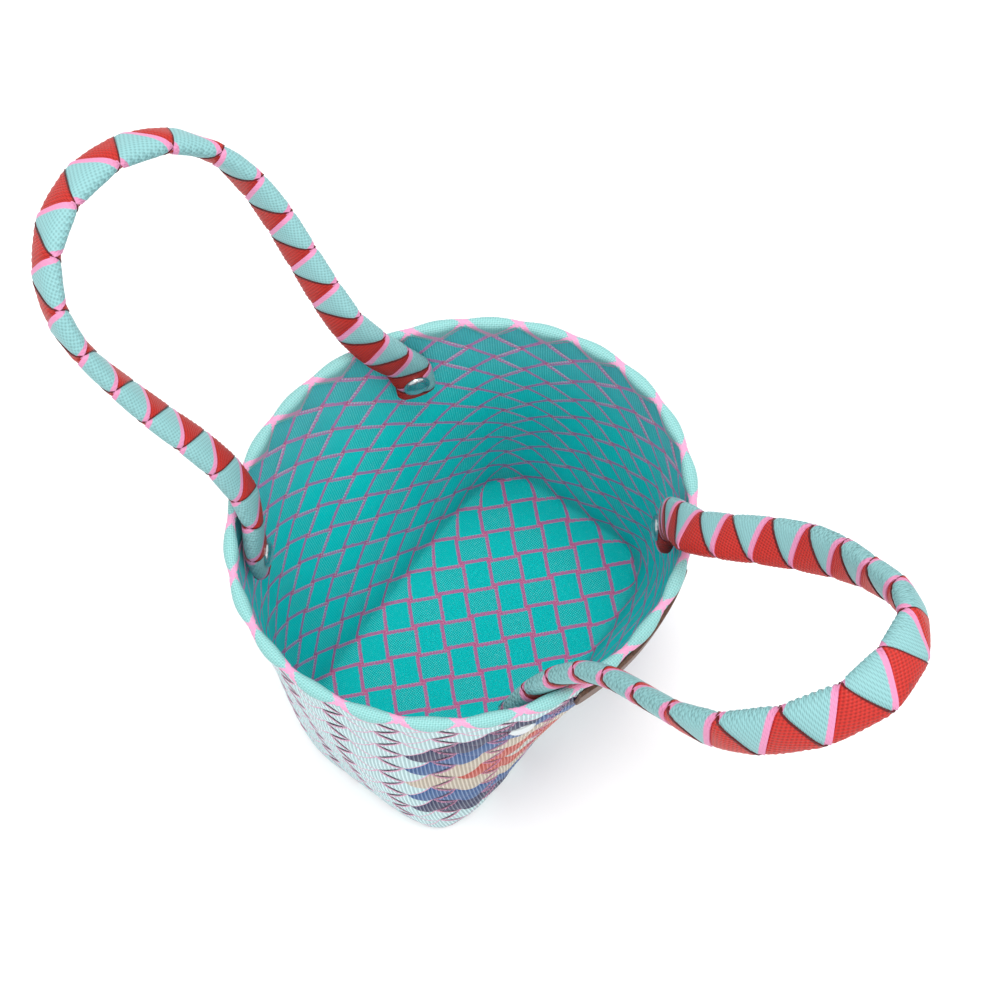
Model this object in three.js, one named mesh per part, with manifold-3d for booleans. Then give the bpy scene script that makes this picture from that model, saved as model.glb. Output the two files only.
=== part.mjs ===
// A small tote bag plaited on the bias from plastic strapping, with two wrapped handles.
// Millimetres, +Z up. The origin is the middle of the floor's underside, +X runs along the long
// side of the base and the front faces -Y.

import * as THREE from 'three';
import { mergeVertices } from 'three/addons/utils/BufferGeometryUtils.js';
import Module from 'manifold-3d';

// Driving dimensions
const HEIGHT = 180;
const WALL = 2.2;
const SEAT_GAP = 0.3;

// The wall is woven in columns of diamonds: 8 along each side of the base and 4 across each end
const COLUMNS = 24;
const COLUMN_AT_BACK = 4;

// Outlines of the middle of the wall: a squared oval at the floor opens to a plain oval at the mouth,
// which the handles pull a little round
const BASE = { halfLength: 91.5, halfWidth: 51.5, squareness: 5.5 };
const MOUTH = { halfLength: 96, halfWidth: 87, squareness: 2, turn: THREE.MathUtils.degToRad(-30) };
const FLARE_POWER = 1.33;
const SQUARE_FADE_POWER = 2.5;
const FLOOR_EDGE_RADIUS = 5;

// The rim is the strips folded over: a rounded roll that sits on the top of the wall
const RIM_WIDTH = 4.8;
const RIM_DEPTH = 7;
const RIM_ROUNDNESS = 2.6;
const WALL_TOP = HEIGHT - RIM_DEPTH - SEAT_GAP;

// Handles: a flat-oval core with its wrapping, folded outwards over the rim
const HANDLE_WIDTH = 18.5;
const HANDLE_THICKNESS = 8.5;
const HANDLE_ROUNDNESS = 2.5;
const HANDLE_TILT = THREE.MathUtils.degToRad(46);
const HANDLE_END_BELOW_RIVET = 9;
const HANDLE_FLAT_ABOVE_RIVET = 7;
const HANDLE_HINGE = { out: 69.5, height: 188.5 };
const HANDLE_RIM_CLEARANCE = 0.3;

// Each loop runs from its +X foot to its -X foot. A foot is a place on the wall, and the leg crosses
// the rim at a column of its own. The rows between are in the tilted plane of the loop: across it,
// outwards from the rim, and how far the flat side has rolled out of that plane, in degrees
const HANDLES = [
  {
    name: 'handle_back',
    side: 1,
    feet: [
      { rivet: 'rivet_back_right', column: 1.65, height: 152, crossing: 2.1 },
      { rivet: 'rivet_back_left', column: 6.65, height: 152, crossing: 6.2 },
    ],
    loop: [
      { across: 34, out: 18, roll: 66 },
      { across: 39, out: 50, roll: 76 },
      { across: 44, out: 80, roll: 82 },
      { across: 42, out: 104, roll: 98 },
      { across: 30, out: 122, roll: 114 },
      { across: 6, out: 134, roll: 116 },
      { across: -19, out: 134, roll: 108 },
      { across: -41, out: 121, roll: 90 },
      { across: -52, out: 100, roll: 82 },
      { across: -51, out: 62, roll: 54 },
      { across: -46, out: 22, roll: 40 },
    ],
  },
  {
    name: 'handle_front',
    side: -1,
    feet: [
      { rivet: 'rivet_front_right', column: 18.7, height: 138, crossing: 18.1 },
      { rivet: 'rivet_front_left', column: 13.6, height: 144, crossing: 14.2 },
    ],
    loop: [
      { across: 35, out: 26, roll: 8 },
      { across: 36, out: 62, roll: 28 },
      { across: 35, out: 93, roll: 58 },
      { across: 28, out: 122, roll: 88 },
      { across: 16, out: 145, roll: 75 },
      { across: -6, out: 150, roll: 116 },
      { across: -22, out: 142, roll: 113 },
      { across: -36, out: 120, roll: 102 },
      { across: -42, out: 95, roll: 92 },
      { across: -38, out: 63, roll: 76 },
      { across: -33, out: 27, roll: 68 },
    ],
  },
];

// Rivets: a dome on the handle, a shank through handle and wall, and a dome outside
const RIVET_HEAD_RADIUS = 6;
const RIVET_HEAD_HEIGHT = 2.2;
const RIVET_SHANK_RADIUS = 2;
const RIVET_DOME_SHARES = [0, 0.5, 0.85, 1];

// Leather patch under the rim at the front
const PATCH = { firstColumn: 14.55, lastColumn: 17.45, bottom: 147, top: 170, thickness: 1.8 };

// How finely the solids are cut
const AROUND = 3 * COLUMNS;
const OUTLINE_SAMPLES = 720;
const WALL_LEVELS = 11;
const FLOOR_EDGE_STEPS = 3;
const FLOOR_RINGS = [0.35, 0.7];
const RIM_SIDES = 10;
const HANDLE_SIDES = 12;
const HANDLE_STEPS = 56;
const RIVET_SIDES = 16;
const PATCH_STEPS = { along: 18, up: 3 };

// Step, in columns and in millimetres, over which the wall's slope is measured
const SLOPE_STEP = 0.5;

const wasm = await Module();
wasm.setup();

// The wall's shape

// Outline of the middle of the wall at a height, as a squared oval
function sectionAt(height) {
  const share = THREE.MathUtils.clamp(height / HEIGHT, 0, 1);
  const opened = 1 - (1 - share) ** FLARE_POWER;
  const squared = (1 - share) ** SQUARE_FADE_POWER;
  return {
    halfLength: THREE.MathUtils.lerp(BASE.halfLength, MOUTH.halfLength, opened),
    halfWidth: THREE.MathUtils.lerp(BASE.halfWidth, MOUTH.halfWidth, opened),
    squareness: THREE.MathUtils.lerp(MOUTH.squareness, BASE.squareness, squared),
    turn: MOUTH.turn * share,
  };
}

// Point of a squared oval in the direction of an angle, before it is turned
function squaredOval(angle, halfLength, halfWidth, squareness) {
  const x = Math.cos(angle);
  const y = Math.sin(angle);
  const reach = Math.abs(x / halfLength) ** squareness + Math.abs(y / halfWidth) ** squareness;
  return new THREE.Vector2(x, y).multiplyScalar(reach ** (-1 / squareness));
}

// A closed outline with its running lengths, starting at the back (+Y) and going anticlockwise
function outlineAt(height, inset) {
  const { halfLength, halfWidth, squareness, turn } = sectionAt(height);
  const points = [];
  const lengths = [0];
  for (let i = 0; i <= OUTLINE_SAMPLES; i++) {
    const angle = Math.PI / 2 - turn + (2 * Math.PI * i) / OUTLINE_SAMPLES;
    const point = squaredOval(angle, halfLength - inset, halfWidth - inset, squareness);
    points.push(point.rotateAround(new THREE.Vector2(), turn));
    if (i > 0) lengths.push(lengths[i - 1] + points[i].distanceTo(points[i - 1]));
  }
  return { points, lengths };
}

// The point of an outline at a column: columns are equal lengths of it
function pointAtColumn({ points, lengths }, column) {
  const share = THREE.MathUtils.euclideanModulo((column - COLUMN_AT_BACK) / COLUMNS, 1);
  const length = share * lengths[OUTLINE_SAMPLES];
  let next = 1;
  while (lengths[next] < length) next++;
  const part = (length - lengths[next - 1]) / (lengths[next] - lengths[next - 1]);
  return points[next - 1].clone().lerp(points[next], part);
}

// One ring of points round the bag
function ring(height, inset) {
  const outline = outlineAt(height, inset);
  return Array.from({ length: AROUND }, (_, i) => {
    const { x, y } = pointAtColumn(outline, (i * COLUMNS) / AROUND);
    return new THREE.Vector3(x, y, height);
  });
}

// Place on the middle of the wall, with the directions along, up and out of it
function wallFrame(column, height) {
  const at = (c, z) => {
    const { x, y } = pointAtColumn(outlineAt(z, 0), c);
    return new THREE.Vector3(x, y, z);
  };
  const along = at(column + SLOPE_STEP, height).sub(at(column - SLOPE_STEP, height)).normalize();
  const up = at(column, height + SLOPE_STEP).sub(at(column, height - SLOPE_STEP)).normalize();
  const out = along.clone().cross(up).normalize();
  return { point: at(column, height), along, up, out };
}

// Meshes from rings

// Rings of equal count in order. Ends are closed with a pole, or the last ring joins the first
function skin(rings, poles) {
  const count = rings[0].length;
  const points = rings.flat();
  const faces = [];
  const bands = poles ? rings.length - 1 : rings.length;
  for (let j = 0; j < bands; j++) {
    const low = j * count;
    const high = ((j + 1) % rings.length) * count;
    for (let i = 0; i < count; i++) {
      const k = (i + 1) % count;
      faces.push(low + i, low + k, high + k, low + i, high + k, high + i);
    }
  }
  if (poles) {
    const first = points.push(poles[0]) - 1;
    const last = points.push(poles[1]) - 1;
    const top = (rings.length - 1) * count;
    for (let i = 0; i < count; i++) {
      const k = (i + 1) % count;
      faces.push(first, k, i, last, top + i, top + k);
    }
  }
  const geometry = new THREE.BufferGeometry().setFromPoints(points);
  geometry.setIndex(faces);
  return geometry;
}

function toSolid(geometry) {
  const plain = geometry.clone();
  plain.deleteAttribute('normal');
  plain.deleteAttribute('uv');
  const merged = mergeVertices(plain);
  const vertProperties = new Float32Array(merged.attributes.position.array);
  const triVerts = new Uint32Array(merged.index.array);
  return new wasm.Manifold(new wasm.Mesh({ numProp: 3, vertProperties, triVerts }));
}

function toGeometry(solid) {
  const { numProp, vertProperties, triVerts } = solid.getMesh();
  const geometry = new THREE.BufferGeometry();
  geometry.setAttribute('position', new THREE.BufferAttribute(new Float32Array(vertProperties), numProp));
  geometry.setIndex(new THREE.BufferAttribute(new Uint32Array(triVerts), 1));
  return geometry;
}

// Basket: floor and wall in one, hollow and open at the top

function basketGeometry() {
  const half = WALL / 2;
  const ease = (step) => (step / FLOOR_EDGE_STEPS) * (Math.PI / 2);
  const shell = (inset, floorHeight, radius) => {
    const rings = [];
    const edge = ring(floorHeight, inset + radius);
    for (const share of FLOOR_RINGS) {
      rings.push(edge.map((p) => new THREE.Vector3(p.x * share, p.y * share, floorHeight)));
    }
    for (let step = 0; step <= FLOOR_EDGE_STEPS; step++) {
      const height = floorHeight + radius * (1 - Math.cos(ease(step)));
      rings.push(ring(height, inset + radius * (1 - Math.sin(ease(step)))));
    }
    const start = floorHeight + radius;
    for (let level = 1; level <= WALL_LEVELS; level++) {
      rings.push(ring(THREE.MathUtils.lerp(start, WALL_TOP, level / WALL_LEVELS), inset));
    }
    return rings;
  };
  const outside = shell(-half, 0, FLOOR_EDGE_RADIUS);
  const inside = shell(half, WALL, FLOOR_EDGE_RADIUS - WALL);
  const poles = [new THREE.Vector3(), new THREE.Vector3(0, 0, WALL)];
  return skin([...outside, ...inside.reverse()], poles);
}

// Rim roll

function rimGeometry() {
  const rings = [];
  for (let i = 0; i < RIM_SIDES; i++) {
    const angle = (2 * Math.PI * (i + 0.5)) / RIM_SIDES;
    const { x, y } = squaredOval(angle, RIM_WIDTH / 2, RIM_DEPTH / 2, RIM_ROUNDNESS);
    const low = HEIGHT - RIM_DEPTH / 2;
    rings.push(ring(HEIGHT, -x).map((p) => p.setZ(low + y)));
  }
  return skin(rings, null);
}

// Handles

// Hand-picked stations of a handle from foot to foot, each with the direction of its flat side
function handleStations({ side, feet, loop }) {
  const inset = WALL / 2 + SEAT_GAP + HANDLE_THICKNESS / 2;
  const outward = new THREE.Vector3(0, side * Math.cos(HANDLE_TILT), Math.sin(HANDLE_TILT));
  const normal = new THREE.Vector3(0, -side * Math.sin(HANDLE_TILT), Math.cos(HANDLE_TILT));
  const hinge = new THREE.Vector3(0, side * HANDLE_HINGE.out, HANDLE_HINGE.height);
  const rimInset = RIM_WIDTH / 2 + SEAT_GAP + HANDLE_THICKNESS / 2 + HANDLE_RIM_CLEARANCE;
  const footStations = feet.map(({ column, height, crossing }, i) => {
    const { point, along, up, out } = wallFrame(column, height);
    const outerEdge = along.multiplyScalar(Math.sign(along.x) * (i === 0 ? 1 : -1));
    const seat = point.addScaledVector(out, -inset);
    const end = seat.clone().addScaledVector(up, -HANDLE_END_BELOW_RIVET);
    const flatTop = seat.clone().addScaledVector(up, HANDLE_FLAT_ABOVE_RIVET);
    const rim = wallFrame(crossing, HEIGHT);
    const over = rim.point.addScaledVector(rim.out, -rimInset);
    return [end, seat, flatTop, over].map((place) => ({ place, flat: outerEdge }));
  });
  const rows = loop.map(({ across, out, roll }, i) => {
    const before = loop[Math.max(i - 1, 0)];
    const after = loop[Math.min(i + 1, loop.length - 1)];
    const run = new THREE.Vector3(after.across - before.across, 0, 0);
    run.addScaledVector(outward, after.out - before.out).normalize();
    const sideways = run.clone().cross(normal).normalize().multiplyScalar(side);
    const angle = THREE.MathUtils.degToRad(roll);
    const flat = sideways.multiplyScalar(Math.cos(angle)).addScaledVector(normal, Math.sin(angle));
    const place = hinge.clone().addScaledVector(outward, out).setX(across);
    return { place, flat };
  });
  return [...footStations[0], ...rows, ...footStations[1].reverse()];
}

// Flat-oval section swept along the stations
function handleGeometry(handle) {
  const stations = handleStations(handle);
  const path = new THREE.CatmullRomCurve3(stations.map(({ place }) => place), false, 'centripetal');
  const last = stations.length - 1;
  const rings = [];
  for (let j = 0; j <= HANDLE_STEPS; j++) {
    const u = path.getUtoTmapping(j / HANDLE_STEPS);
    const before = Math.min(Math.floor(u * last), last - 1);
    const flat = stations[before].flat.clone().lerp(stations[before + 1].flat, u * last - before);
    const tangent = path.getTangent(u);
    const wide = flat.addScaledVector(tangent, -flat.dot(tangent)).normalize();
    const thick = tangent.clone().cross(wide);
    rings.push(Array.from({ length: HANDLE_SIDES }, (_, i) => {
      const angle = (2 * Math.PI * (i + 0.5)) / HANDLE_SIDES;
      const { x, y } = squaredOval(angle, HANDLE_WIDTH / 2, HANDLE_THICKNESS / 2, HANDLE_ROUNDNESS);
      return path.getPoint(u).addScaledVector(wide, x).addScaledVector(thick, y);
    }));
  }
  return skin(rings, [path.getPoint(0), path.getPoint(1)]);
}

// Rivets, built along +Z with the wall's middle at zero and the outside up

function rivetGeometry() {
  const inner = -WALL / 2 - HANDLE_THICKNESS - 2 * SEAT_GAP;
  const outer = WALL / 2 + SEAT_GAP;
  const dome = (start, direction) => RIVET_DOME_SHARES.map((share) => {
    const rise = RIVET_HEAD_HEIGHT * Math.sqrt(1 - share * share);
    return new THREE.Vector2(RIVET_HEAD_RADIUS * share, start + direction * rise);
  });
  const profile = [
    ...dome(inner, -1),
    new THREE.Vector2(RIVET_SHANK_RADIUS, inner),
    new THREE.Vector2(RIVET_SHANK_RADIUS, outer),
    ...dome(outer, 1).reverse(),
  ];
  return new THREE.LatheGeometry(profile, RIVET_SIDES).rotateX(Math.PI / 2);
}

function rivetPlace({ column, height }) {
  const { point, along, up, out } = wallFrame(column, height);
  return new THREE.Matrix4().makeBasis(along, up, out).setPosition(point);
}

// The hole that a rivet's shank passes through
function shankHole(place) {
  const reach = 2 * (WALL + HANDLE_THICKNESS);
  const radius = RIVET_SHANK_RADIUS + SEAT_GAP;
  const drill = new THREE.CylinderGeometry(radius, radius, 2 * reach, RIVET_SIDES);
  return toSolid(drill.rotateX(Math.PI / 2).applyMatrix4(place));
}

function withHoles(geometry, holes) {
  return toGeometry(holes.reduce((solid, hole) => solid.subtract(hole), toSolid(geometry)));
}

// Leather patch: a curved plate that lies on the outside of the wall

function patchGeometry() {
  const rest = WALL / 2 + SEAT_GAP;
  const rings = [];
  for (let i = 0; i <= PATCH_STEPS.along; i++) {
    const column = THREE.MathUtils.lerp(PATCH.firstColumn, PATCH.lastColumn, i / PATCH_STEPS.along);
    const lower = [];
    const upper = [];
    for (let j = 0; j <= PATCH_STEPS.up; j++) {
      const height = THREE.MathUtils.lerp(PATCH.bottom, PATCH.top, j / PATCH_STEPS.up);
      const { point, out } = wallFrame(column, height);
      lower.push(point.clone().addScaledVector(out, rest));
      upper.push(point.clone().addScaledVector(out, rest + PATCH.thickness));
    }
    rings.push([...lower, ...upper.reverse()]);
  }
  const middle = (points) => {
    const sum = points.reduce((total, point) => total.add(point), new THREE.Vector3());
    return sum.divideScalar(points.length);
  };
  return skin(rings, [middle(rings[0]), middle(rings[rings.length - 1])]);
}

// Assembly

function material(color, roughness, metalness = 0) {
  return new THREE.MeshStandardMaterial({ color, roughness, metalness });
}

const strapping = material(0x4fcac2, 0.45);
const foldedStrapping = material(0xa9ece6, 0.45);
const wrapping = material(0xd8483c, 0.5);
const nickel = material(0xd2d4d6, 0.2, 1);
const leather = material(0x7a5238, 0.7);

const bag = new THREE.Group();

function addPart(name, geometry, look) {
  const mesh = new THREE.Mesh(geometry, look);
  mesh.name = name;
  bag.add(mesh);
}

const feet = HANDLES.flatMap((handle) => handle.feet);
addPart('basket', withHoles(basketGeometry(), feet.map((foot) => shankHole(rivetPlace(foot)))), strapping);
addPart('rim_fold', rimGeometry(), foldedStrapping);
for (const handle of HANDLES) {
  const holes = handle.feet.map((foot) => shankHole(rivetPlace(foot)));
  addPart(handle.name, withHoles(handleGeometry(handle), holes), wrapping);
}
for (const foot of feet) {
  addPart(foot.rivet, rivetGeometry().applyMatrix4(rivetPlace(foot)), nickel);
}
addPart('label_patch', patchGeometry(), leather);

export default bag;
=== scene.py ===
# %% [markdown]
# # A small tote bag plaited from plastic strapping
# The real bag is made of two sets of flat plastic straps that cross on the bias, pass over and
# under each other, climb from the floor up the walls and fold over at the rim. Two handles are
# wound with the same strapping and held by rivets. This lesson builds each of those pieces the
# way it is made: straps are laid on a guide surface, one crossing at a time. The solids of the
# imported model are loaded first. They fix where everything goes, so no piece is fitted by eye.

# %% load the frame
import math
from functools import partial
import bpy
import numpy as np
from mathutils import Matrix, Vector


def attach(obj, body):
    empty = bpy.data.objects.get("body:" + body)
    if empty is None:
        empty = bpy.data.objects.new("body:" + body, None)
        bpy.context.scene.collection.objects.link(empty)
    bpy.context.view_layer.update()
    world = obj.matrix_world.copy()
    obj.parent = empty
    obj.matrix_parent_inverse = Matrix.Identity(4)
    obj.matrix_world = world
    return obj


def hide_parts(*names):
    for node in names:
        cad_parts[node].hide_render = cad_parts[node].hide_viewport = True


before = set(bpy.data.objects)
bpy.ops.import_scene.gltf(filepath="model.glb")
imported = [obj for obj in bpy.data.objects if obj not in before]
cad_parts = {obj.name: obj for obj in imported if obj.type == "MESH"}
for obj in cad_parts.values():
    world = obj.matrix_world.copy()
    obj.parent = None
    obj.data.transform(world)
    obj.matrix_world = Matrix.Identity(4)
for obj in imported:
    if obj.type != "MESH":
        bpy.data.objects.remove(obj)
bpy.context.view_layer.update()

MM = 0.001
print("nodes:", sorted(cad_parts))

# %% [markdown]
# ## The camera
# The photograph looks steeply down into the bag. The place, the turn and the focal length were
# found by matching the crossings of the weave, so they are written as three plain values. The
# sensor is 36 mm wide and the image is square.

# %% camera
CAMERA_PLACE = (-180.6, -157.2, 743.2)
CAMERA_TURN = (23.29, 0.95, -54.93)
CAMERA_FOCAL_LENGTH = 54.0
CAMERA_SENSOR_WIDTH = 36.0
CAMERA_NEAREST = 0.01

camera_data = bpy.data.cameras.new("photo_camera")
camera_data.lens = CAMERA_FOCAL_LENGTH
camera_data.sensor_width = CAMERA_SENSOR_WIDTH
camera_data.clip_start = CAMERA_NEAREST
camera = bpy.data.objects.new("photo_camera", camera_data)
camera.location = Vector(CAMERA_PLACE) * MM
camera.rotation_euler = [math.radians(angle) for angle in CAMERA_TURN]
bpy.context.collection.objects.link(camera)
bpy.context.scene.camera = camera
print("camera at", [round(value, 3) for value in camera.location])

# %% [markdown]
# ## The shape of the wall
# The wall is a stack of outlines: a squared oval at the floor that opens to a plain oval at the
# mouth. Every outline is cut into 24 equal columns, because the weave has 24 diamonds round it.
# The same named sizes made the solids, so a strap laid on this shape lies where the solid is.
# Lengths are in millimetres until a mesh is made.

# %% wall outlines
HEIGHT = 180.0
WALL = 2.2
COLUMNS = 24
COLUMN_AT_BACK = 4
BASE = {"half_length": 91.5, "half_width": 51.5, "squareness": 5.5}
MOUTH = {"half_length": 96.0, "half_width": 87.0, "squareness": 2.0}
MOUTH_TURN = math.radians(-30.0)
FLARE_POWER = 1.33
SQUARE_FADE_POWER = 2.5
OUTLINE_SAMPLES = 720


def mix(start, end, share):
    return start + (end - start) * share


def run_along(points):
    """How far along a path each of its points lies."""
    return np.concatenate([[0.0], np.cumsum(np.linalg.norm(np.diff(points, axis=0), axis=1))])


def path_at(wanted, known, points):
    """Points of a path at the wanted values, where its own points are at the known values."""
    return np.stack([np.interp(wanted, known, column) for column in np.transpose(points)], axis=-1)


def squared_oval(angle, half_length, half_width, squareness):
    """Points of a squared oval in the directions of the angles."""
    x, y = np.cos(angle), np.sin(angle)
    reach = np.abs(x / half_length) ** squareness + np.abs(y / half_width) ** squareness
    reach = reach ** (-1.0 / squareness)
    return x * reach, y * reach


def outline(height, columns, inset=0.0):
    """Points of the middle of the wall at one height, at the given columns."""
    share = min(max(height / HEIGHT, 0.0), 1.0)
    opened = 1.0 - (1.0 - share) ** FLARE_POWER
    squareness = mix(MOUTH["squareness"], BASE["squareness"], (1.0 - share) ** SQUARE_FADE_POWER)
    half_length = mix(BASE["half_length"], MOUTH["half_length"], opened) - inset
    half_width = mix(BASE["half_width"], MOUTH["half_width"], opened) - inset
    turn = MOUTH_TURN * share
    angle = math.pi / 2 - turn + np.linspace(0.0, 2 * math.pi, OUTLINE_SAMPLES + 1)
    x, y = squared_oval(angle, half_length, half_width, squareness)
    x, y = x * math.cos(turn) - y * math.sin(turn), x * math.sin(turn) + y * math.cos(turn)
    ring = np.stack([x, y], axis=-1)
    run = run_along(ring)
    wanted = ((np.asarray(columns, float) - COLUMN_AT_BACK) / COLUMNS % 1.0) * run[-1]
    return path_at(wanted, run, ring)


def around(height):
    """The length of the outline at one height."""
    return run_along(outline(height, np.linspace(0.0, COLUMNS, OUTLINE_SAMPLES + 1)))[-1]


print("round the floor", round(around(0.0)), "mm, round the mouth", round(around(HEIGHT)), "mm")

# %% [markdown]
# ## Guide surfaces
# A strap is easiest to describe flat. On a flat plan, one crossing of the weave is a diamond two
# half-columns wide and two rows high. A guide is a hidden mesh that carries this plan as a UV map,
# so any point of the plan can be looked up as a place on the bag. It also carries the direction in
# which a strap is lifted when it passes over another.

# %% guide meshes
PLAN_SIZE = 64.0
PLAN_SHIFT = 8.0
GUIDES = bpy.data.collections.new("guides")


def grid_faces(rows, across, start=0):
    """Faces of a grid of points that are numbered row by row."""
    first = (np.arange(rows - 1)[:, None] * across + np.arange(across - 1)).ravel() + start
    return np.stack([first, first + 1, first + across + 1, first + across], axis=-1)


def put(mesh, name, kind, domain, values):
    """Stores values on a mesh as a named attribute."""
    field = {"FLOAT": "value", "FLOAT_COLOR": "color"}.get(kind, "vector")
    mesh.attributes.new(name, kind, domain).data.foreach_set(field, np.ravel(values))


def new_mesh(name, places, faces=()):
    """A mesh from places in millimetres."""
    mesh = bpy.data.meshes.new(name)
    mesh.from_pydata((np.reshape(places, (-1, 3)) * MM).tolist(), [], faces)
    return mesh


def guide_mesh(name, patches):
    """One hidden mesh from patches of (plan x, plan y, places, lift directions)."""
    places, lifts, plans, faces = [], [], [], []
    start = 0
    for plan_x, plan_y, place, lift in patches:
        plan = np.stack(np.meshgrid(plan_x, plan_y), axis=-1).reshape(-1, 2)
        plans.append((plan + PLAN_SHIFT) / PLAN_SIZE)
        places.append(place.reshape(-1, 3))
        lifts.append(lift.reshape(-1, 3))
        faces.append(grid_faces(*place.shape[:2], start))
        start += len(plan)
    faces = np.concatenate(faces)
    mesh = new_mesh(name, np.concatenate(places), faces.tolist())
    put(mesh, "plan", "FLOAT2", "CORNER", np.concatenate(plans)[faces.ravel()])
    put(mesh, "lift", "FLOAT_VECTOR", "POINT", np.concatenate(lifts))
    guide = bpy.data.objects.new(name, mesh)
    GUIDES.objects.link(guide)
    return guide


def facing(place):
    """Unit directions square to a patch, on its front side."""
    along_x = np.gradient(place, axis=1)
    along_y = np.gradient(place, axis=0)
    front = np.cross(along_x, along_y)
    return front / np.linalg.norm(front, axis=-1, keepdims=True)


# %% [markdown]
# The plan of the bag has a floor of 16 by 8 half-diamonds and a wall of 19 rows, so a long side has
# 8 columns and a short side 4. A column of the wall starts at the edge of the woven rectangle, runs
# out flat to the floor's edge, turns up through a small fillet and climbs to the rim. At the corners
# the rectangle meets the wall at once. Rows are equal lengths of that path.

# %% floor and wall guide
STRAP_PITCH = 15.0
DIAMOND = STRAP_PITCH * math.sqrt(2.0)
LONG, SHORT = 8, 4
CORNERS = [-1, 0, LONG, LONG + SHORT, 2 * LONG + SHORT, COLUMNS, COLUMNS + 1]
CORNER_INSET = 1e-6
ROWS = 19
FLOOR_MIDDLE = 0.9
FLOOR_EDGE_RADIUS = 3.9
FILLET_SHARE = 0.85
FILLET_STEPS = 7
CLIMB_STEPS = 40
FLOOR_PLAN_SHIFT = (8, 40)
WEAVE_TOP = HEIGHT - 1.4
GUIDE_MARGIN = 0.25
PLAN_OVERLAP = 2
WALL_STEPS_PER_HALF_COLUMN = 3
WALL_STEPS_PER_ROW = 5


def floor_places(plan_x, plan_y):
    """Places on the flat floor."""
    x, y = np.broadcast_arrays(plan_x, plan_y)
    return np.stack([-x * DIAMOND / 2, y * DIAMOND / 2, np.full(x.shape, FLOOR_MIDDLE)], axis=-1)


def floor_plan_at(column, row):
    """The floor's plan, carried out past its edge as rows of the wall: row 0 is the edge itself."""
    column = column % COLUMNS
    if column <= LONG:
        return 2 * column - LONG, row + SHORT
    if column <= LONG + SHORT:
        return row + LONG, SHORT - 2 * (column - LONG)
    if column <= 2 * LONG + SHORT:
        return LONG - 2 * (column - LONG - SHORT), -row - SHORT
    return -row - LONG, 2 * (column - 2 * LONG - SHORT) - SHORT


def wall_paths(columns, rows):
    """Places of the wall's middle at each row (first axis) and column (second axis)."""
    edge = np.array([floor_plan_at(column, 0.0) for column in columns])
    start = floor_places(edge[:, 0], edge[:, 1])
    gap = np.linalg.norm(outline(FLOOR_MIDDLE, columns) - start[:, :2], axis=1)
    radius = np.minimum(FLOOR_EDGE_RADIUS, FILLET_SHARE * gap)
    turn = np.linspace(0.0, math.pi / 2, FILLET_STEPS)
    out = np.empty((len(rows), len(columns), 3))
    for index, column in enumerate(columns):
        fillet = FLOOR_MIDDLE + radius[index] * (1.0 - np.cos(turn))
        inward = radius[index] * (1.0 - np.sin(turn)) / gap[index]
        climb = np.linspace(fillet[-1], WEAVE_TOP, CLIMB_STEPS)[1:]
        heights = np.concatenate([fillet, climb, [HEIGHT]])
        inward = np.concatenate([inward, np.zeros(len(heights) - len(inward))])
        path = [start[index]]
        for height, share in zip(heights, inward):
            path.append(np.append(mix(outline(height, column), start[index, :2], share), height))
        run = run_along(path)
        out[:, index] = path_at(np.asarray(rows) / ROWS * run[-2], run, path)
    return out


def plan_round(steps):
    """Plan values all round the bag, with an overlap at both ends."""
    count = (2 * COLUMNS + 2 * PLAN_OVERLAP) * steps + 1
    return np.linspace(-PLAN_OVERLAP, 2 * COLUMNS + PLAN_OVERLAP, count)


def plan_steps(low, high):
    return np.arange(low, high + GUIDE_MARGIN, GUIDE_MARGIN)


UPWARD = np.array([0.0, 0.0, 1.0])
wall_x = plan_round(WALL_STEPS_PER_HALF_COLUMN)
wall_y = np.append(np.linspace(0, ROWS, ROWS * WALL_STEPS_PER_ROW + 1), ROWS + GUIDE_MARGIN)
wall = wall_paths(wall_x / 2, wall_y)
wall_lift = -facing(wall)
wall_lift[0] = UPWARD
patches = [(wall_x, wall_y, wall, wall_lift)]
floor_x = plan_steps(-LONG - GUIDE_MARGIN, LONG + GUIDE_MARGIN)
floor_y = plan_steps(-SHORT - GUIDE_MARGIN, SHORT + GUIDE_MARGIN)
floor = floor_places(*np.meshgrid(floor_x, floor_y))
floor_plan = (floor_x + FLOOR_PLAN_SHIFT[0], floor_y + FLOOR_PLAN_SHIFT[1])
patches.append((*floor_plan, floor, np.broadcast_to(UPWARD, floor.shape)))
for first, last in zip(CORNERS, CORNERS[1:]):
    edge_x = plan_steps(2 * first, 2 * last)
    edge_y = plan_steps(-1.0 - GUIDE_MARGIN, 0.0)
    inner = np.clip(edge_x / 2, first + CORNER_INSET, last - CORNER_INSET)
    edge_plan = np.array([[floor_plan_at(column, row) for column in inner] for row in edge_y])
    edge = floor_places(edge_plan[..., 0], edge_plan[..., 1])
    patches.append((edge_x, edge_y, edge, np.broadcast_to(UPWARD, edge.shape)))
bag_guide = guide_mesh("bag_guide", patches)
print("bag guide:", len(bag_guide.data.polygons), "faces")

# %% [markdown]
# ## One tree for all the plaiting
# A plait repeats one small thing: a square of strap that rises in the middle, or dips where it
# passes under. So the tree puts such a square on every crossing, turns it to the strap's
# direction, and only then looks up the guide to bend the whole plan into shape. Squares of one
# strap share their ends, so merging by distance welds them into long straps. This could also be
# done with an array and a curve for each strap, but then each strap would need its own path.

# %% geometry nodes tree
# New nodes go into the tree that was made last.
CURRENT = {}


def socket(sockets, name):
    """The socket of that name which the node's settings leave in use."""
    return next(item for item in sockets if item.name == name and item.enabled)


def feed(value, target):
    """Links a socket, or sets a plain value."""
    if isinstance(value, bpy.types.NodeSocket):
        CURRENT["tree"].links.new(value, target)
    else:
        target.default_value = value


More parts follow.
